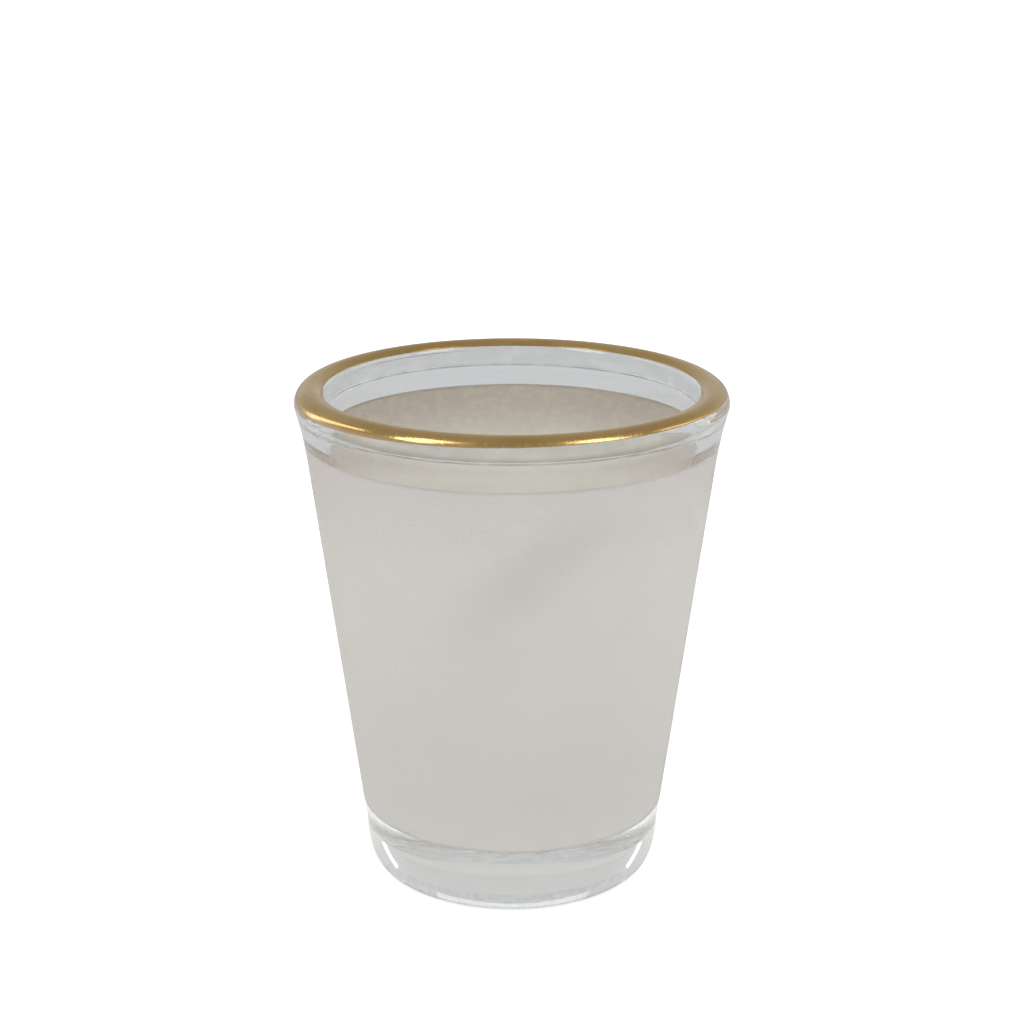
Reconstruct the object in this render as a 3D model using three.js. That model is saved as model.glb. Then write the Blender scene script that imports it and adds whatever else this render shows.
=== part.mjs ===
// A shot glass with a gilded rim and a frosted white coat on its outer wall.
//
// Millimetres, +Z up. The origin is the centre of the base, in the plane the glass stands on,
// and +Z is the axis of the glass. Every piece is a solid of revolution round that axis.
//
//   glass_body       one pressed glass tumbler: thick base, tapering wall, flared round lip
//   gold_rim         the fired gold band that lies over the lip
//   frosted_coating  the translucent white coat that lies on the outer wall

import * as THREE from "three";

// Overall size
const HEIGHT = 60;               // from the standing surface to the crest of the glass
const SEGMENTS = 64;             // steps round the axis; the same for all pieces, so they nest

// Layers that lie on the glass
const LAYER_GAP = 0.04;          // space left between the glass and a layer on it
const LAYER_THICKNESS = 0.08;    // stand-in for a coat of 0.03 mm and a far thinner gold film
const LAYER_TOP = LAYER_GAP + LAYER_THICKNESS;

// Base and heel
const HEEL_HEIGHT = 5.1;         // the heel curves from the foot up to the straight wall
const HEEL_DEPTH = 1.7;          // how far the foot stands inside the foot of the wall
const WALL_FOOT_RADIUS = 18.07;  // outer radius where the heel meets the wall
const FOOT_RADIUS = WALL_FOOT_RADIUS - HEEL_DEPTH;
const FOOT_WIDTH = 3.5;          // the flat ring that touches the table
const PUNT_RADIUS = FOOT_RADIUS - FOOT_WIDTH;
const PUNT_RISE = 0.15;          // the shallow hollow under the base, at its centre

// Outer wall
const WALL_TAPER = 0.131;        // radius gained per millimetre of height

// Lip: a round, a little thicker than the wall below it, with a short upright land inside
const LIP_RADIUS = 1.9;
const LIP_CENTRE_RADIUS = 23.62;
const LIP_CENTRE_HEIGHT = HEIGHT - LIP_RADIUS;
const LIP_OUTER_ANGLE = -16;     // degrees; the flare of the wall runs into the lip here
const LIP_LAND_ANGLE = 150;      // degrees; the round gives way to the upright land here
const LIP_INNER_ANGLE = 210;     // degrees; the foot of the land meets the inner wall here

// Inside of the cup
const FLOOR_HEIGHT = 10;         // thickness of the solid base at its centre
const FLOOR_WALL_RADIUS = 15.2;  // inner radius of the wall, carried down to the floor
const FLOOR_FILLET = 3;

// Gold band, as a stretch of the lip's round
const GOLD_OUTER_ANGLE = 6;      // degrees
const GOLD_INNER_ANGLE = 140;    // degrees

// Frosted coat
const COAT_BOTTOM = 8.3;
const COAT_TOP = 53.9;

const degrees = Math.PI / 180;

/** A point at an angle on a circle or ellipse about a centre, in the radius-height plane. */
function onRound(centreRadius, centreHeight, radiusAcross, radiusUp, angle) {
  return new THREE.Vector2(
    centreRadius + radiusAcross * Math.cos(angle),
    centreHeight + radiusUp * Math.sin(angle),
  );
}

/** Points along an arc, both ends included. */
function arc(centreRadius, centreHeight, radiusAcross, radiusUp, from, to, steps) {
  const points = [];
  for (let step = 0; step <= steps; step += 1) {
    const angle = from + ((to - from) * step) / steps;
    points.push(onRound(centreRadius, centreHeight, radiusAcross, radiusUp, angle));
  }
  return points;
}

/** Points along the round of the lip, raised off the glass by an offset. */
function lipArc(offset, fromDegrees, toDegrees, steps) {
  const radius = LIP_RADIUS + offset;
  const from = fromDegrees * degrees;
  const to = toDegrees * degrees;
  return arc(LIP_CENTRE_RADIUS, LIP_CENTRE_HEIGHT, radius, radius, from, to, steps);
}

/** Outer radius of the straight wall at a height. */
function wallRadius(height) {
  return WALL_FOOT_RADIUS + (height - HEEL_HEIGHT) * WALL_TAPER;
}

/** The flare at the top of the wall, which leaves the straight wall and meets the lip smoothly. */
function flare() {
  const [end] = lipArc(0, LIP_OUTER_ANGLE, LIP_OUTER_ANGLE, 1);
  const endTaper = Math.tan(-LIP_OUTER_ANGLE * degrees);
  const gain = end.x - wallRadius(end.y);
  const rise = (2 * gain) / (endTaper - WALL_TAPER);
  return { gain, rise, start: end.y - rise };
}

/** Outer radius of the glass between the heel and the lip. */
function outerRadius(height) {
  const { gain, rise, start } = flare();
  const share = Math.max(0, height - start) / rise;
  return wallRadius(height) + gain * share ** 2;
}

/** Points up the outer wall, evenly spaced in height, raised off the glass by an offset. */
function wallLine(from, to, steps, offset) {
  const points = [];
  for (let step = 0; step <= steps; step += 1) {
    const height = from + ((to - from) * step) / steps;
    points.push(new THREE.Vector2(outerRadius(height) + offset, height));
  }
  return points;
}

/** Turns a profile round the axis, with the profile's heights along +Z. */
function revolve(profile) {
  const geometry = new THREE.LatheGeometry(profile, SEGMENTS);
  geometry.rotateX(Math.PI / 2);
  return geometry;
}

/** The hollow under the base and the flat ring that the glass stands on. */
function undersideProfile() {
  const sphereRadius = (PUNT_RADIUS ** 2 + PUNT_RISE ** 2) / (2 * PUNT_RISE);
  const sphereHeight = PUNT_RISE - sphereRadius;
  const edgeAngle = Math.acos(PUNT_RADIUS / sphereRadius);
  const punt = arc(0, sphereHeight, sphereRadius, sphereRadius, Math.PI / 2, edgeAngle, 3);
  punt[0].x = 0;
  punt[punt.length - 1].y = 0;
  return punt;
}

/** The corner between the inner wall and the floor, and the floor to the axis. */
function floorProfile(innerTaper) {
  const lean = Math.atan(innerTaper);
  const centreHeight = FLOOR_HEIGHT + FLOOR_FILLET;
  const centreRadius =
    FLOOR_WALL_RADIUS + innerTaper * FLOOR_FILLET - FLOOR_FILLET / Math.cos(lean);
  const corner =
    arc(centreRadius, centreHeight, FLOOR_FILLET, FLOOR_FILLET, -lean, -Math.PI / 2, 5);
  return [...corner, new THREE.Vector2(0, FLOOR_HEIGHT)];
}

function glassBody() {
  const heel = arc(FOOT_RADIUS, HEEL_HEIGHT, HEEL_DEPTH, HEEL_HEIGHT, -Math.PI / 2, 0, 6);
  const lip = lipArc(0, LIP_OUTER_ANGLE, LIP_LAND_ANGLE, 14);
  const [wallTop] = lipArc(0, LIP_INNER_ANGLE, LIP_INNER_ANGLE, 1);
  const flareLine = wallLine(flare().start, lip[0].y, 4, 0).slice(0, -1);
  const innerTaper = (wallTop.x - FLOOR_WALL_RADIUS) / (wallTop.y - FLOOR_HEIGHT);
  const outside = [...undersideProfile(), ...heel, ...flareLine, ...lip, wallTop];
  const profile = [...outside, ...floorProfile(innerTaper)];
  const material = new THREE.MeshStandardMaterial({
    color: 0xdfe6e4,
    roughness: 0.04,
    metalness: 0,
    transparent: true,
    opacity: 0.35,
  });
  return new THREE.Mesh(revolve(profile), material);
}

function goldRim() {
  const outside = lipArc(LAYER_TOP, GOLD_OUTER_ANGLE, GOLD_INNER_ANGLE, 10);
  const inside = lipArc(LAYER_GAP, GOLD_INNER_ANGLE, GOLD_OUTER_ANGLE, 10);
  const profile = [...outside, ...inside, outside[0].clone()];
  const material = new THREE.MeshStandardMaterial({
    color: 0xb08a4a,
    roughness: 0.22,
    metalness: 1,
  });
  return new THREE.Mesh(revolve(profile), material);
}

/** The line of the outer wall between the two edges of the coat. */
function coatLine(offset) {
  const straight = wallLine(COAT_BOTTOM, flare().start, 1, offset).slice(0, -1);
  return [...straight, ...wallLine(flare().start, COAT_TOP, 2, offset)];
}

function frostedCoating() {
  const outside = coatLine(LAYER_TOP);
  const inside = coatLine(LAYER_GAP).reverse();
  const profile = [...outside, ...inside, outside[0].clone()];
  const material = new THREE.MeshStandardMaterial({
    color: 0xd3cfc9,
    roughness: 0.55,
    metalness: 0,
  });
  return new THREE.Mesh(revolve(profile), material);
}

const shotGlass = new THREE.Group();
const pieces = {
  glass_body: glassBody(),
  gold_rim: goldRim(),
  frosted_coating: frostedCoating(),
};
for (const [name, mesh] of Object.entries(pieces)) {
  mesh.name = name;
  shotGlass.add(mesh);
}

export default shotGlass;
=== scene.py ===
"""A shot glass with a gilded rim and a frosted white coat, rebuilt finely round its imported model.

Three pieces replace the three CAD nodes: the pressed glass, the gold lustre over its lip and the
baked coat on its outer wall. All of them are revolved from profiles in metres, in the CAD frame,
and then take the small unevenness of pressed glass and of bands that are put on by hand.
"""

import math

import bpy
import numpy as np
from mathutils import Euler, Matrix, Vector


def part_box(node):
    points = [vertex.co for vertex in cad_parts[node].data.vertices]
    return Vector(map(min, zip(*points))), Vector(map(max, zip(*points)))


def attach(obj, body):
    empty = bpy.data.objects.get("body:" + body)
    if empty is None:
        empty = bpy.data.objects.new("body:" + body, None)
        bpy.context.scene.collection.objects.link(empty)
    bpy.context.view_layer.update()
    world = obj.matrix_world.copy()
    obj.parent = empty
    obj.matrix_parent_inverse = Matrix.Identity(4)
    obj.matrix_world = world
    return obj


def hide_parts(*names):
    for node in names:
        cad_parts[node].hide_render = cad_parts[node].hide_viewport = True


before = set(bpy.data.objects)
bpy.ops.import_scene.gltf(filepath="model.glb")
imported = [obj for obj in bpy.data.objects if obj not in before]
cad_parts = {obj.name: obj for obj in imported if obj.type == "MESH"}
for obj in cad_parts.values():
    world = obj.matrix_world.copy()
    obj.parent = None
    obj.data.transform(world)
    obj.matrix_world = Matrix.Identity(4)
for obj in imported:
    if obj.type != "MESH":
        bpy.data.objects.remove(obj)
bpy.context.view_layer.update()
glass_low, glass_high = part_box("glass_body")
coat_low, coat_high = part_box("frosted_coating")

MM = 0.001

# The glass, as in the CAD model: lengths in metres, angles in degrees
HEIGHT = glass_high.z
LIP_RADIUS = 1.9 * MM
LIP_CENTRE_RADIUS = glass_high.x - LIP_RADIUS
LIP_CENTRE_HEIGHT = HEIGHT - LIP_RADIUS
LIP_OUTER_ANGLE = -16
LIP_LAND_ANGLE = 150             # the round gives way to a short upright land here
LIP_INNER_ANGLE = 210
HEEL_HEIGHT = 5.1 * MM
HEEL_DEPTH = 1.7 * MM
WALL_FOOT_RADIUS = 18.07 * MM
WALL_TAPER = 0.131
FOOT_RADIUS = WALL_FOOT_RADIUS - HEEL_DEPTH
PUNT_RADIUS = FOOT_RADIUS - 3.5 * MM
PUNT_RISE = 0.15 * MM
FLOOR_HEIGHT = 10 * MM
FLOOR_WALL_RADIUS = 15.2 * MM
FLOOR_FILLET = 3 * MM

# A fine groove inside the cup, where the round of the lip ends: (distance below it, depth)
GROOVE = [(0.08 * MM, 0.05 * MM), (0.16 * MM, 0.07 * MM), (0.26 * MM, 0.03 * MM), (0.4 * MM, 0)]

CALM_RADIUS = 4 * MM             # nearer the axis than this, the unevenness fades away
GLASS_IOR = 1.51

# The layers on the glass. Each starts a little under the glass's surface, as a bonded layer does.
LAYER_ROOT = 0.03 * MM
GOLD_RAISE = 0.03 * MM
COAT_RAISE = 0.035 * MM
GOLD_OUTER_ANGLE = 22
GOLD_INNER_ANGLE = 138
GOLD_TILT = (12, -9)             # degrees by which the outer edge lies higher at +X and at +Y
GOLD_ROWS = 40                   # points across the gold, and across the coat
COAT_ROWS = 90

# A faint, slanting darker patch on the front of the coat, laid out flat: (centre, tilt, half size)
DARK_SLANT_HEIGHT = coat_low.z + 0.765 * (coat_high.z - coat_low.z)
DARK_SLANT_PATCH = ((1.2 * MM, 0, DARK_SLANT_HEIGHT), -42, (10.5 * MM, 1, 4.2 * MM))

TURNS = 360                      # steps round the axis
AROUND = np.linspace(0, 2 * math.pi, TURNS, endpoint=False)[:, None]
FLAT_RADIUS = 20 * MM            # laid flat, the surface has its true length at this radius

# Colours, linear red, green, blue and alpha. First the glass:
CLEAR = (1, 1, 1, 1)
STREAK_TINT = (0.985, 0.995, 0.989, 1)
# painted grey shade inside the lip, in clouds:
LIP_SHADE_GREY = (0.78, 0.79, 0.80, 1)
# painted shade for the line in the groove inside the lip:
CREASE_SHADE = (0.38, 0.40, 0.42, 1)
SPECKLE_DARK = (0.74, 0.76, 0.81, 1)
SPECKLE_LIGHT = (0.94, 0.95, 0.97, 1)
RING_DARK = (0.58, 0.63, 0.70, 1)
RING_LIGHT = (0.92, 0.95, 1.0, 1)

# the gold:
GOLD = (0.56, 0.375, 0.155, 1)
GOLD_DEEP = (0.48, 0.31, 0.115, 1)
GOLD_LINE = (0.36, 0.23, 0.08, 1)
# a lighter colour for the lower outer edge, a painted highlight:
GOLD_EDGE_HIGHLIGHT = (0.76, 0.54, 0.31, 1)
GOLD_BACK = (0.78, 0.70, 0.58, 1)

# the coat, first its open face, then its face on the glass as (lower part, upper part), the upper
# part darker with painted shade:
COAT_DARK_GRAIN = (0.94, 0.927, 0.935, 1)
COAT_LIGHT_GRAIN = (0.99, 0.976, 0.985, 1)
COAT_CLOUD = (0.94, 0.922, 0.93, 1)
COAT_DARK_SLANT = (0.885, 0.878, 0.865, 1)
BACK_TAN = ((0.99, 0.97, 0.91, 1), (0.715, 0.65, 0.575, 1))
BACK_PALE = ((0.995, 0.98, 0.93, 1), (0.77, 0.70, 0.62, 1))

# and the stage:
FLOOR_WHITE = (0.93, 0.93, 0.93, 1)
FLOOR_NEAR = (0.72, 0.72, 0.72, 1)
FLOOR_AWAY = (0.40, 0.405, 0.415, 1)
SKY_LOW = (0.65, 0.665, 0.635, 1)
SKY_HIGH = (0.50, 0.50, 0.50, 1)

# The stage
FLOOR_REACH = 6.0                # metres each way from the glass
FLOOR_GAP = 0.02 * MM            # the floor lies this far below the foot
FLOOR_GLOW = 0.15
LIT_THROUGH_GLASS = 3.8          # the surroundings' strength for light that reaches the coat
                                 # through the glass, as against 1 elsewhere

# The camera: a close, slightly raised view of the front
CAMERA_DISTANCE = 231.8 * MM
CAMERA_HEIGHT = 117.0 * MM
CAMERA_PITCH = 17.46             # degrees below level
CAMERA_LENS = 71.42              # focal length, mm


def on_round(radius, height, across, up, degrees):
    """A point at an angle on a circle or ellipse in the radius-height plane."""
    angle = math.radians(degrees)
    return radius + across * math.cos(angle), height + up * math.sin(angle)


def arc(radius, height, across, up, start, end, steps):
    return [
        on_round(radius, height, across, up, start + (end - start) * i / steps)
        for i in range(steps + 1)
    ]


def on_lip(degrees):
    return on_round(LIP_CENTRE_RADIUS, LIP_CENTRE_HEIGHT, LIP_RADIUS, LIP_RADIUS, degrees)


def line(start, end, steps):
    """Points from start towards end, with end itself left out."""
    return [
        tuple(a + (b - a) * i / steps for a, b in zip(start, end)) for i in range(steps)
    ]


def wall_radius(height):
    return WALL_FOOT_RADIUS + (height - HEEL_HEIGHT) * WALL_TAPER


def flare():
    """(radius gained, rise, start height) of the flare between the straight wall and the lip."""
    radius, height = on_lip(LIP_OUTER_ANGLE)
    gain = radius - wall_radius(height)
    rise = 2 * gain / (math.tan(math.radians(-LIP_OUTER_ANGLE)) - WALL_TAPER)
    return gain, rise, height - rise


def outer_radius(height):
    gain, rise, start = flare()
    return wall_radius(height) + gain * (np.maximum(0, height - start) / rise) ** 2


def ripple(angle, along, seed, waves, size):
    """A smooth unevenness round the axis and along the profile, the same on every run."""
    rng = np.random.default_rng(seed)
    total = np.zeros(np.broadcast(angle, along).shape)
    for order in range(1, waves + 1):
        shift, lean = rng.uniform(0, 2 * math.pi, 2)
        drift = rng.uniform(-1, 1) * 90      # radians for each metre along the profile
        share = rng.uniform(0.4, 1) / order ** 0.7
        total = total + share * np.sin(order * angle + shift + drift * along + math.sin(lean))
    return size * total


def mottle(angle, along, seed, pitch):
    """Irregular spots about one pitch across: the sum of short waves in many directions."""
    rng = np.random.default_rng(seed)
    total = np.zeros(np.broadcast(angle, along).shape)
    headings = rng.uniform(0, math.pi, 20)
    lengths = pitch * rng.uniform(0.7, 1.8, 20)
    shifts = rng.uniform(0, 6.3, 20)
    for heading, length, shift in zip(headings, lengths, shifts):
        rounds = round(2 * math.pi * WALL_FOOT_RADIUS / length * math.cos(heading))
        rise = 2 * math.pi / length * math.sin(heading)
        total = total + np.sin(rounds * angle + rise * along + shift)
    return total / 4


def revolve(name, radii, heights, closed):
    """A mesh from arrays of radius and height, one row per step round the axis.

    Without closed, the profile runs from the axis to the axis, and its end points are shared.
    """
    count = radii.shape[1]
    points = np.stack([radii * np.cos(AROUND), radii * np.sin(AROUND), heights], axis=-1)
    if closed:
        vertices = points.reshape(-1, 3)
        columns = count
    else:
        ends = np.array([[0, 0, heights[:, 0].mean()], [0, 0, heights[:, -1].mean()]])
        vertices = np.concatenate([points[:, 1:-1].reshape(-1, 3), ends])
        columns = count - 2
    faces = []
    for turn in range(TURNS):
        here, there = turn * columns, (turn + 1) % TURNS * columns
        for step in range(columns if closed else columns - 1):
            up = (step + 1) % columns
            faces.append((here + step, there + step, there + up, here + up))
        if not closed:
            bottom, top = TURNS * columns, TURNS * columns + 1
            faces.append((bottom, there, here))
            faces.append((here + columns - 1, there + columns - 1, top))
    mesh = bpy.data.meshes.new(name)
    mesh.from_pydata(vertices.tolist(), [], faces)
    mesh.validate()
    mesh.polygons.foreach_set("use_smooth", [True] * len(mesh.polygons))
    piece = bpy.data.objects.new(name, mesh)
    bpy.context.scene.collection.objects.link(piece)
    return piece


def outside_lines():
    """The outer stretches of the profile: punt, foot ring, heel, wall, round lip and its land."""
    sphere = (PUNT_RADIUS ** 2 + PUNT_RISE ** 2) / (2 * PUNT_RISE)
    edge = math.degrees(math.acos(PUNT_RADIUS / sphere))
    punt = arc(0, PUNT_RISE - sphere, sphere, sphere, 90, edge, steps=14)[:-1]
    foot = line((PUNT_RADIUS, 0), (FOOT_RADIUS, 0), steps=8)
    heel = arc(FOOT_RADIUS, HEEL_HEIGHT, HEEL_DEPTH, HEEL_HEIGHT, -90, 0, steps=26)[:-1]
    lip = arc(LIP_CENTRE_RADIUS, LIP_CENTRE_HEIGHT, LIP_RADIUS, LIP_RADIUS,
              LIP_OUTER_ANGLE, LIP_LAND_ANGLE, steps=72)
    wall_heights = np.linspace(HEEL_HEIGHT, lip[0][1], 70)[:-1]
    wall = [(outer_radius(height), height) for height in wall_heights]
    land_end = on_lip(LIP_INNER_ANGLE)
    land = line(lip[-1], land_end, steps=16)[1:] + [land_end]
    return punt, foot, heel, wall, lip, land


def inside_lines(land_end):
    """The inner stretches of the profile: groove, wall, rounded corner and floor."""
    taper = (land_end[0] - FLOOR_WALL_RADIUS) / (land_end[1] - FLOOR_HEIGHT)
    lean = math.atan(taper)
    corner_radius = FLOOR_WALL_RADIUS + taper * FLOOR_FILLET - FLOOR_FILLET / math.cos(lean)
    corner = arc(corner_radius, FLOOR_HEIGHT + FLOOR_FILLET, FLOOR_FILLET, FLOOR_FILLET,
                 -math.degrees(lean), -90, steps=22)
    groove = [(land_end[0] - taper * down + depth, land_end[1] - down) for down, depth in GROOVE]
    wall = line(groove[-1], corner[0], steps=60)[1:]
    floor = line(corner[-1], (0, FLOOR_HEIGHT), steps=12)[1:] + [(0, FLOOR_HEIGHT)]
    return groove, wall, corner, floor


def glass_profile():
    """Rows of (radius, height, slow waves, spots): the last two are the glass's unevenness."""
    punt, foot, heel, wall, lip, land = outside_lines()
    groove, inner_wall, corner, floor = inside_lines(land[-1])
    rows = []
    for points, waves, spots in (
        (punt, 0.004, 0.0), (foot, 0.0, 0.0), (heel, 0.006, 0.0), (wall, 0.004, 0.0),
        (lip, 0.0, 0.0), (land, 0.006, 0.003), (groove, 0.006, 0.010),
        (inner_wall, 0.012, 0.003), (corner, 0.020, 0.004), (floor, 0.020, 0.004),
    ):
        rows += [(radius, height, waves * MM, spots * MM) for radius, height in points]
    return np.array(rows)


def eased(values):
    """The mean of each value and its two neighbours on either side."""
    return np.convolve(np.pad(values, 2, mode="edge"), np.ones(5) / 5, mode="valid")


def tumbler():
    """The glass: its profile revolved, then pushed in and out along its own normals."""
    radius, height, waves, spots = glass_profile().T
    across, up = np.gradient(radius), np.gradient(height)
    length = np.hypot(across, up)
    along = np.cumsum(length)
    push = eased(waves) * ripple(AROUND, along, seed=11, waves=9, size=1)
    push = push + eased(spots) * mottle(AROUND, along, seed=12, pitch=1.6 * MM)
    push = push * np.minimum(1, radius / CALM_RADIUS)
    radii = radius + push * up / length
    heights = height - push * across / length
    heights[:, height == 0] = 0
    return revolve("tumbler", radii, heights, closed=False)


def layer(name, outside, inside):
    """A thin closed shell between two lines, given as (radius, height) arrays with rows of turns.

    The attribute "glass_side" is 1 on the face that lies on the glass and 0 on the open face.
    """
    radii = np.concatenate([outside[0], inside[0][:, ::-1]], axis=1)
    heights = np.concatenate([outside[1], inside[1][:, ::-1]], axis=1)
    piece = revolve(name, radii, heights, closed=True)
    side = piece.data.attributes.new("glass_side", "FLOAT", "POINT")
    rows = [0.0] * outside[0].shape[1] + [1.0] * inside[0].shape[1]
    side.data.foreach_set("value", rows * TURNS)
    return piece


def gold_band():
    """The gold over the lip. Its outer edge is tilted and wavy, as a brush leaves it."""
    share = np.linspace(0, 1, GOLD_ROWS)[None, :]
    outer_edge = GOLD_OUTER_ANGLE + GOLD_TILT[0] * np.cos(AROUND) + GOLD_TILT[1] * np.sin(AROUND)
    outer_edge = outer_edge + ripple(AROUND, 0, seed=3, waves=9, size=0.8)
    inner_edge = GOLD_INNER_ANGLE + ripple(AROUND, 0, seed=4, waves=11, size=0.5)
    sweep = np.radians(outer_edge + (inner_edge - outer_edge) * share)
    faces = []
    for offset in (GOLD_RAISE, -LAYER_ROOT):
        radius = LIP_RADIUS + offset
        faces.append((LIP_CENTRE_RADIUS + radius * np.cos(sweep),
                      LIP_CENTRE_HEIGHT + radius * np.sin(sweep)))
    return layer("gold_lustre_band", *faces)


def coat_shell():
    """The coat on the outer wall, with edges that waver a little."""
    share = np.linspace(0, 1, COAT_ROWS)[None, :]
    bottom = coat_low.z + ripple(AROUND, 0, seed=5, waves=14, size=0.03 * MM)
    top = coat_high.z + ripple(AROUND, 0, seed=6, waves=10, size=0.02 * MM)
    heights = bottom + (top - bottom) * share
    faces = [(outer_radius(heights) + offset, heights) for offset in (COAT_RAISE, -LAYER_ROOT)]
    return layer("frosted_coat", *faces)


def new_material(name):
    material = bpy.data.materials.new(name)
    material.use_nodes = True
    tree = material.node_tree
    tree.nodes.clear()
    output = tree.nodes.new("ShaderNodeOutputMaterial")
    return material, tree, output.inputs["Surface"]


def feed(tree, socket, value):
    """Links a node's output to a socket, or sets the socket to a constant."""
    if isinstance(value, bpy.types.NodeSocket):
        tree.links.new(value, socket)
    else:
        socket.default_value = value


def math_node(tree, operation, first, second=0.0):
    node = tree.nodes.new("ShaderNodeMath")
    node.operation = operation
    feed(tree, node.inputs[0], first)
    feed(tree, node.inputs[1], second)
    return node.outputs[0]


def multiply(tree, first, second):
    return math_node(tree, "MULTIPLY", first, second)


def add(tree, first, second):
    return math_node(tree, "ADD", first, second)


def ramp(tree, value, low, high, bottom, top):
    """Maps a value from low..high to bottom..top, smoothly and clamped."""
    node = tree.nodes.new("ShaderNodeMapRange")
    node.interpolation_type = "SMOOTHSTEP"
    feed(tree, node.inputs["Value"], value)
    node.inputs["From Min"].default_value = low
    node.inputs["From Max"].default_value = high
    node.inputs["To Min"].default_value = bottom
    node.inputs["To Max"].default_value = top
    return node.outputs[0]


def ramp_up(tree, value, low, high):
    """0 below low, 1 above high, and a smooth change between them."""
    return ramp(tree, value, low, high, 0, 1)


def ramp_down(tree, value, low, high):
    """1 below low, 0 above high, and a smooth change between them."""
    return ramp(tree, value, low, high, 1, 0)


def colour_mix(tree, factor, first, second):
    node = tree.nodes.new("ShaderNodeMix")
    node.data_type = "RGBA"
    feed(tree, node.inputs[0], factor)
    feed(tree, node.inputs[6], first)
    feed(tree, node.inputs[7], second)
    return node.outputs[2]


def place(tree):
    """Where a point is: (x, y, z), the same laid flat, its distance from the axis, its height.

    Laid flat means (length round the axis, distance from the axis, height).
    """
    coordinate = tree.nodes.new("ShaderNodeTexCoord")
    split = tree.nodes.new("ShaderNodeSeparateXYZ")
    tree.links.new(coordinate.outputs["Object"], split.inputs[0])
    x, y, z = split.outputs
    turn = math_node(tree, "ARCTAN2", x, multiply(tree, y, -1.0))
    out = math_node(tree, "SQRT", add(tree, multiply(tree, x, x), multiply(tree, y, y)))
    flat = tree.nodes.new("ShaderNodeCombineXYZ")
    feed(tree, flat.inputs[0], multiply(tree, turn, FLAT_RADIUS))
    feed(tree, flat.inputs[1], out)
    feed(tree, flat.inputs[2], z)
    return coordinate.outputs["Object"], flat.outputs[0], out, z


def noise(tree, vector, pitch, detail=3.0, stretch=(1, 1, 1)):
    """Noise with features about one pitch across, drawn out by a factor along each axis."""
    mapping = tree.nodes.new("ShaderNodeMapping")
    mapping.vector_type = "POINT"
    tree.links.new(vector, mapping.inputs["Vector"])
    mapping.inputs["Scale"].default_value = [1 / factor for factor in stretch]
    texture = tree.nodes.new("ShaderNodeTexNoise")
    texture.inputs["Scale"].default_value = 1 / pitch
    texture.inputs["Detail"].default_value = detail
    tree.links.new(mapping.outputs[0], texture.inputs["Vector"])
    return texture.outputs[0]


def patch_reach(tree, vector, shape):
    """How far a point is from the centre of a (centre, tilt, half size) patch: 1 at its edge."""
    centre, tilt, half_size = shape
    mapping = tree.nodes.new("ShaderNodeMapping")
    mapping.vector_type = "TEXTURE"
    mapping.inputs["Location"].default_value = centre
    mapping.inputs["Rotation"].default_value = (0, math.radians(tilt), 0)
    mapping.inputs["Scale"].default_value = half_size
    tree.links.new(vector, mapping.inputs["Vector"])
    reach = tree.nodes.new("ShaderNodeVectorMath")
    reach.operation = "LENGTH"
    tree.links.new(mapping.outputs[0], reach.inputs[0])
    return reach.outputs["Value"]


def bump(tree, height, strength, distance, normal=None):
    node = tree.nodes.new("ShaderNodeBump")
    node.inputs["Strength"].default_value = strength
    node.inputs["Distance"].default_value = distance
    tree.links.new(height, node.inputs["Height"])
    if normal is not None:
        tree.links.new(normal, node.inputs["Normal"])
    return node.outputs[0]


def glass_side(tree):
    """1 on the face of a layer that lies on the glass, 0 on its open face."""
    side = tree.nodes.new("ShaderNodeAttribute")
    side.attribute_name = "glass_side"
    return side.outputs["Fac"]


def lip_painted_shade(tree, inside, z, cloud):
    """How much painted grey shade, in clouds, the inside of the lip takes between the gold and the
    wall of the cup.
    """
    above = ramp_up(tree, z, LIP_CENTRE_HEIGHT - 1.2 * MM, LIP_CENTRE_HEIGHT - 0.9 * MM)
    return multiply(tree, multiply(tree, inside, above), ramp(tree, cloud, 0.3, 0.7, 0.25, 1.0))


def lip_crease_shade(tree, inside, z, cloud):
    """A thin, broken line of painted shade round the inside, in the groove just below the end of
    the lip's land.
    """
    height = LIP_CENTRE_HEIGHT - LIP_RADIUS / 2
    band = multiply(
        tree,
        ramp_up(tree, z, height - 0.34 * MM, height - 0.22 * MM),
        ramp_down(tree, z, height - 0.10 * MM, height),
    )
    broken = multiply(tree, inside, ramp(tree, cloud, 0.3, 0.6, 0.3, 1.0))
    return multiply(tree, band, broken)


def heel_mottling(tree, z, cloud):
    """1 on the lowest 3 mm of the heel, with a ragged upper edge."""
    ragged = add(tree, z, multiply(tree, cloud, 0.5 * MM))
    below = ramp_down(tree, ragged, 2.75 * MM, 2.95 * MM)
    return multiply(tree, below, ramp_up(tree, z, 0.1 * MM, 0.3 * MM))


def foot_ring(tree, out, z):
    """1 on the flat ring that the glass stands on."""
    low = ramp_down(tree, z, 0.02 * MM, 0.06 * MM)
    return multiply(tree, low, ramp_up(tree, out, PUNT_RADIUS, PUNT_RADIUS + 0.3 * MM))


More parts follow.
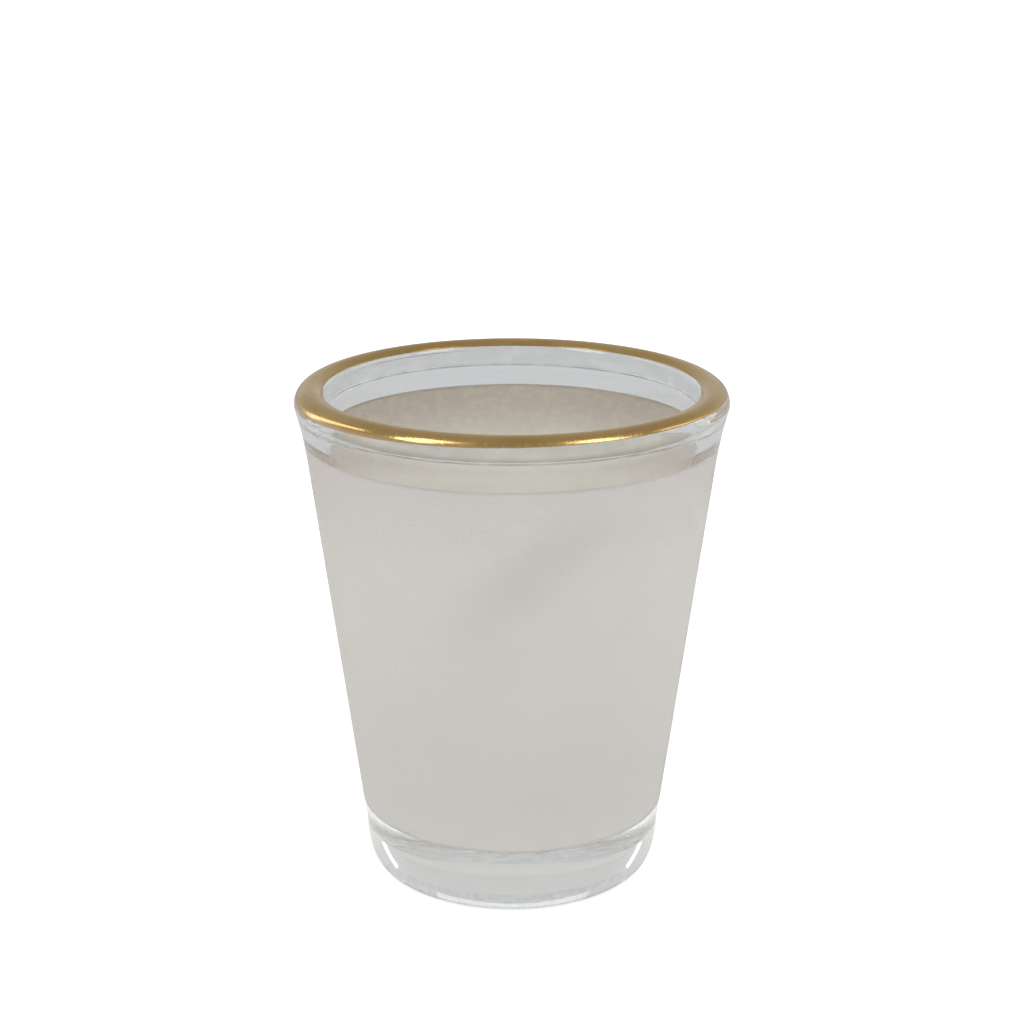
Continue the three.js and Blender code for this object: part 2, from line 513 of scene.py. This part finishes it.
def glass_material():
    """Clear pressed glass: faint streaks and a slow waviness, painted grey shade and a painted dark
    line of shade in the groove inside the lip, a speckled heel and a worn, stippled foot ring."""
    material, tree, surface = new_material("clear_pressed_glass")
    shader = tree.nodes.new("ShaderNodeBsdfPrincipled")
    shader.inputs["IOR"].default_value = GLASS_IOR
    spot, flat, out, z = place(tree)
    inside = ramp_down(tree, out, LIP_CENTRE_RADIUS - 0.9 * MM, LIP_CENTRE_RADIUS - 0.5 * MM)
    cloud = noise(tree, flat, pitch=1.3 * MM, detail=6, stretch=(2.5, 1, 1))
    ring = foot_ring(tree, out, z)

    streak = noise(tree, flat, pitch=1.5 * MM, stretch=(8, 1, 1))
    tint = colour_mix(tree, ramp_up(tree, streak, 0.35, 0.65), CLEAR, STREAK_TINT)
    # Painted grey shade, in clouds, inside the lip between the gold and the wall
    tint = colour_mix(tree, lip_painted_shade(tree, inside, z, cloud), tint, LIP_SHADE_GREY)
    # A painted dark line of shade in the groove inside the lip
    tint = colour_mix(tree, lip_crease_shade(tree, inside, z, cloud), tint, CREASE_SHADE)
    # Darker, bluer speckles on the heel's lowest 3 mm
    heel_speckle_noise = noise(tree, spot, pitch=0.55 * MM, detail=4)
    speckle = colour_mix(tree, ramp_up(tree, heel_speckle_noise, 0.38, 0.62), SPECKLE_DARK, SPECKLE_LIGHT)
    tint = colour_mix(tree, heel_mottling(tree, z, cloud), tint, speckle)
    worn = ramp_up(tree, noise(tree, spot, pitch=1.1 * MM, detail=5), 0.35, 0.65)
    ground = colour_mix(tree, worn, RING_DARK, RING_LIGHT)
    feed(tree, shader.inputs["Base Color"], colour_mix(tree, ring, tint, ground))

    smear = ramp(tree, noise(tree, spot, pitch=9 * MM, detail=5, stretch=(1, 1, 2)),
                 0.5, 0.75, 0.0, 0.02)
    smear = multiply(tree, smear, ramp_up(tree, z, 10 * MM, 14 * MM))
    feed(tree, shader.inputs["Roughness"], add(tree, smear, multiply(tree, ring, 0.16)))

    frost = multiply(tree, ring, ramp(tree, worn, 0, 1, 0.65, 0.35))
    feed(tree, shader.inputs["Transmission Weight"], math_node(tree, "SUBTRACT", 1.0, frost))

    stipple = multiply(tree, noise(tree, spot, pitch=0.5 * MM, detail=2), ring)
    slow = noise(tree, flat, pitch=5 * MM, detail=1, stretch=(4, 1, 1))
    wavy = bump(tree, slow, strength=0.35, distance=0.03 * MM)
    feed(tree, shader.inputs["Normal"], bump(tree, stipple, 0.8, 0.10 * MM, wavy))
    tree.links.new(shader.outputs[0], surface)
    return material


def gold_material():
    """Fired lustre, brushed on round the rim: fine lines, thin patches, a painted highlight on the
    lower outer edge.
    """
    material, tree, surface = new_material("fired_gold_lustre")
    shader = tree.nodes.new("ShaderNodeBsdfPrincipled")
    shader.inputs["Metallic"].default_value = 1
    _, flat, out, z = place(tree)

    lines = noise(tree, flat, pitch=0.35 * MM, detail=4, stretch=(40, 1, 1))
    patches = noise(tree, flat, pitch=3 * MM, detail=4, stretch=(3, 1, 1))
    colour = colour_mix(tree, ramp_up(tree, patches, 0.35, 0.65), GOLD, GOLD_DEEP)
    colour = colour_mix(tree, ramp(tree, lines, 0.55, 0.8, 0, 0.5), colour, GOLD_LINE)
    # The lower outer edge is lightened: a painted highlight
    edge = multiply(
        tree,
        ramp_down(tree, z, LIP_CENTRE_HEIGHT + 0.5 * MM, LIP_CENTRE_HEIGHT + 1.3 * MM),
        ramp_up(tree, out, LIP_CENTRE_RADIUS, LIP_CENTRE_RADIUS + 1 * MM),
    )
    colour = colour_mix(tree, edge, colour, GOLD_EDGE_HIGHLIGHT)
    colour = colour_mix(tree, glass_side(tree), colour, GOLD_BACK)
    feed(tree, shader.inputs["Base Color"], colour)

    ripples = noise(tree, flat, pitch=1.0 * MM, detail=2, stretch=(0.35, 6, 6))
    rough = ramp(tree, noise(tree, flat, pitch=1.2 * MM, detail=5, stretch=(12, 1, 1)),
                 0.3, 0.7, 0.09, 0.2)
    dull = ramp(tree, ripples, 0.45, 0.6, 0, 0.09)
    feed(tree, shader.inputs["Roughness"], add(tree, rough, dull))
    strokes = bump(tree, lines, strength=0.25, distance=0.008 * MM)
    feed(tree, shader.inputs["Normal"], bump(tree, ripples, 0.6, 0.02 * MM, strokes))
    tree.links.new(shader.outputs[0], surface)
    return material


def coat_face(tree, flat, grain):
    """The coat's open face: a fine grain, slow clouds and one faint, slanting darker patch."""
    drift = noise(tree, flat, pitch=14 * MM, detail=3, stretch=(1, 1, 1.6))
    colour = colour_mix(tree, ramp_up(tree, grain, 0.3, 0.7), COAT_DARK_GRAIN, COAT_LIGHT_GRAIN)
    colour = colour_mix(tree, ramp_up(tree, drift, 0.35, 0.7), colour, COAT_CLOUD)
    # One faint, slanting darker patch on the front of the coat
    dark_slant = ramp_down(tree, patch_reach(tree, flat, DARK_SLANT_PATCH), 0.1, 1.3)
    dark_slant = multiply(tree, dark_slant, ramp(tree, drift, 0.3, 0.6, 0.6, 1))
    return colour_mix(tree, dark_slant, colour, COAT_DARK_SLANT)


def coat_back(tree, flat, z):
    """The coat's face on the glass: blotchy, and darker and more tan towards its top with painted
    shade.
    """
    # Painted shade: the face on the glass darkens to tan towards its top
    height = ramp_up(tree, z, 44 * MM, 54 * MM)
    blotch = noise(tree, flat, pitch=0.7 * MM, detail=10, stretch=(1.4, 1, 1))
    tan, pale = (colour_mix(tree, height, *ends) for ends in (BACK_TAN, BACK_PALE))
    return colour_mix(tree, ramp_up(tree, blotch, 0.49, 0.55), tan, pale)


def coat_material():
    """Sprayed and baked white: grainy and even outside, blotchy seen through the glass, with
    painted tan shade towards its top.
    """
    material, tree, surface = new_material("baked_white_coat")
    spot, flat, _, z = place(tree)
    grain = noise(tree, spot, pitch=0.35 * MM, detail=3)
    colour = colour_mix(
        tree, glass_side(tree), coat_face(tree, flat, grain), coat_back(tree, flat, z)
    )
    body = tree.nodes.new("ShaderNodeBsdfPrincipled")
    feed(tree, body.inputs["Base Color"], colour)
    feed(tree, body.inputs["Roughness"], ramp(tree, grain, 0.3, 0.7, 0.45, 0.62))
    feed(tree, body.inputs["Normal"], bump(tree, grain, strength=0.3, distance=0.02 * MM))
    through = tree.nodes.new("ShaderNodeBsdfTranslucent")
    feed(tree, through.inputs["Color"], colour)
    mix = tree.nodes.new("ShaderNodeMixShader")
    feed(tree, mix.inputs["Fac"], ramp(tree, z, 46 * MM, 53 * MM, 0.75, 0.68))
    tree.links.new(body.outputs[0], mix.inputs[1])
    tree.links.new(through.outputs[0], mix.inputs[2])
    tree.links.new(mix.outputs[0], surface)
    return material


def dress(piece, node, material):
    piece.data.materials.append(material)
    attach(piece, "root")
    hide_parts(node)


def floor_material():
    """White where it is seen directly or lights the coat, greyer mirrored or through the glass.

    It glows a little, more so for the camera and beyond the lamps, so that it stays plain white.
    """
    material, tree, surface = new_material("pale_floor")
    out = place(tree)[2]
    path = tree.nodes.new("ShaderNodeLightPath")
    camera_ray, diffuse_ray = path.outputs["Is Camera Ray"], path.outputs["Is Diffuse Ray"]
    plain = math_node(tree, "MAXIMUM", camera_ray, diffuse_ray)
    grey = colour_mix(tree, ramp_up(tree, out, 30 * MM, 130 * MM), FLOOR_NEAR, FLOOR_AWAY)
    tone = colour_mix(tree, plain, grey, FLOOR_WHITE)
    diffuse = tree.nodes.new("ShaderNodeBsdfDiffuse")
    feed(tree, diffuse.inputs["Color"], tone)
    glow = tree.nodes.new("ShaderNodeEmission")
    feed(tree, glow.inputs["Color"], tone)
    seen = multiply(tree, camera_ray, ramp(tree, out, 1.0, 1.5, 0.20, 0.40))
    feed(tree, glow.inputs["Strength"], add(tree, FLOOR_GLOW, seen))
    both = tree.nodes.new("ShaderNodeAddShader")
    tree.links.new(diffuse.outputs[0], both.inputs[0])
    tree.links.new(glow.outputs[0], both.inputs[1])
    tree.links.new(both.outputs[0], surface)
    return material


def pale_floor():
    mesh = bpy.data.meshes.new("floor")
    signs = [(-1, -1), (1, -1), (1, 1), (-1, 1)]
    corners = [(x * FLOOR_REACH, y * FLOOR_REACH, 0) for x, y in signs]
    mesh.from_pydata(corners, [], [(0, 1, 2, 3)])
    floor = bpy.data.objects.new("floor", mesh)
    bpy.context.scene.collection.objects.link(floor)
    floor.location.z = glass_low.z - FLOOR_GAP
    floor.data.materials.append(floor_material())


def softbox(name, spot, size, power, roll=0, mirrored=True, refracted=True):
    """A soft rectangular light, aimed at the middle of the glass.

    Its spot is (azimuth, elevation, distance), with azimuth 0 in front and 90 on the right.
    Without mirrored or refracted, it is left out of reflections or of the view through the glass.
    """
    azimuth, elevation, distance = spot
    light = bpy.data.lights.new(name, "AREA")
    light.shape = "RECTANGLE"
    light.size, light.size_y = size
    light.energy = power
    lamp = bpy.data.objects.new(name, light)
    turn, tilt = math.radians(azimuth), math.radians(elevation)
    away = np.array([
        math.sin(turn) * math.cos(tilt), -math.cos(turn) * math.cos(tilt), math.sin(tilt)
    ])
    aim = np.array([0, 0, HEIGHT / 2])
    lamp.location = aim + away * distance
    facing = Euler((math.radians(90) - tilt, 0, turn)).to_matrix()
    lamp.rotation_euler = (facing @ Matrix.Rotation(math.radians(roll), 3, "Z")).to_euler()
    lamp.visible_glossy = mirrored
    lamp.visible_transmission = refracted
    bpy.context.scene.collection.objects.link(lamp)


def softbox_pair(name, spot, size, power, roll=0, **seen):
    """The same light on the left and on the right, rolled opposite ways."""
    azimuth, elevation, distance = spot
    for side, sign in (("left", -1), ("right", 1)):
        softbox(f"{name}_{side}", (sign * azimuth, elevation, distance), size, power,
                roll=-sign * roll, **seen)


def lights():
    """Two softboxes in front, strips and a panel behind that the glass shows, and unseen fills."""
    unseen = {"mirrored": False, "refracted": False}
    softbox_pair("softbox", (66, 55, 0.7), (0.20, 0.28), 0.70)
    softbox_pair("back_strip", (129, 25, 0.8), (0.30, 0.022), 0.036, roll=27, mirrored=False)
    softbox_pair("rear_strip", (118, 26, 0.8), (0.62, 0.13), 0.42, roll=57, refracted=False)
    softbox("horizon_panel", (180, 13, 1.2), (0.95, 0.30), 0.22, mirrored=False)
    softbox("front_fill", (0, 28, 1.3), (3.2, 0.9), 7.8, **unseen)
    softbox("back_fill", (180, 30, 1.3), (2.4, 0.9), 9.5, **unseen)
    softbox("top_fill", (0, 89, 1.4), (2.4, 2.4), 7.0, **unseen)


def studio_world():
    """A grey surround, a little lighter low down than overhead.

    It is stronger for light that reaches the coat through the glass, which the fills don't send.
    """
    world = bpy.data.worlds.new("studio")
    bpy.context.scene.world = world
    world.use_nodes = True
    tree = world.node_tree
    background = tree.nodes["Background"]
    coordinate = tree.nodes.new("ShaderNodeTexCoord")
    split = tree.nodes.new("ShaderNodeSeparateXYZ")
    scale = tree.nodes.new("ShaderNodeMapRange")
    scale.inputs["From Min"].default_value = -1
    scale.inputs["From Max"].default_value = 1
    shades = tree.nodes.new("ShaderNodeValToRGB")
    low, high = shades.color_ramp.elements
    low.position, low.color = 0.55, SKY_LOW
    high.position, high.color = 0.95, SKY_HIGH
    tree.links.new(coordinate.outputs["Generated"], split.inputs[0])
    tree.links.new(split.outputs["Z"], scale.inputs["Value"])
    tree.links.new(scale.outputs[0], shades.inputs["Fac"])
    tree.links.new(shades.outputs["Color"], background.inputs["Color"])
    path = tree.nodes.new("ShaderNodeLightPath")
    after_diffuse = math_node(tree, "GREATER_THAN", path.outputs["Diffuse Depth"], 0.5)
    to_coat = multiply(tree, path.outputs["Is Transmission Ray"], after_diffuse)
    feed(tree, background.inputs["Strength"], ramp(tree, to_coat, 0, 1, 1, LIT_THROUGH_GLASS))


def camera():
    data = bpy.data.cameras.new("camera")
    data.lens = CAMERA_LENS
    data.clip_start = 0.01
    camera_object = bpy.data.objects.new("camera", data)
    camera_object.location = (0, -CAMERA_DISTANCE, CAMERA_HEIGHT)
    camera_object.rotation_euler = (math.radians(90 - CAMERA_PITCH), 0, 0)
    bpy.context.scene.collection.objects.link(camera_object)
    bpy.context.scene.camera = camera_object


def light_paths():
    """Light takes many bounces inside thick glass, above all where it is reflected inwardly."""
    cycles = bpy.context.scene.cycles
    cycles.max_bounces = 32
    cycles.diffuse_bounces = 24
    cycles.transmission_bounces = 24
    cycles.glossy_bounces = 32
    cycles.sample_clamp_indirect = 4


camera()
pale_floor()
studio_world()
lights()
light_paths()
bpy.context.scene.view_settings.view_transform = "Standard"

dress(tumbler(), "glass_body", glass_material())
dress(gold_band(), "gold_rim", gold_material())
dress(coat_shell(), "frosted_coating", coat_material())
